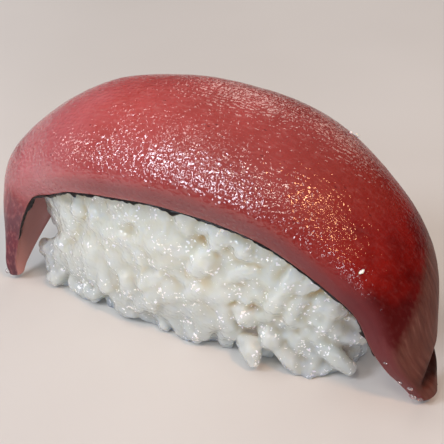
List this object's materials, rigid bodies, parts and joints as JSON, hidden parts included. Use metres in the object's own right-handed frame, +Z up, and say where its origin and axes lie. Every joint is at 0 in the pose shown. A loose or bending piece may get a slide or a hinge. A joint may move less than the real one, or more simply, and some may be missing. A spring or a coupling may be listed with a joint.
{
  "type": "fish nigiri",
  "caption": "Nigiri sushi: a long domed slice of deep red raw fish draped over a pressed block of rice, its ends hanging to the plate, with a dark skin line along its front edge.",
  "frame": {"origin": "middle of the bounding box in plan, on the plane that the rice stands on", "axes": "+X along the slice towards the longer hanging end, +Z up, -Y towards the front edge with the dark skin line"},
  "size_m": [0.0806, 0.0306, 0.0412],
  "materials": {
    "fish_flesh": "wet raw flesh, pink at one end to deep red and brown at the other",
    "fish_skin": "thin near-black skin, moist",
    "cooked_rice": "sticky off-white cooked grains, slightly translucent"
  },
  "bodies": {
    "root": {"fish": "fish_flesh", "skin_edge": "fish_skin", "rice": "cooked_rice"}
  },
  "joints": []
}
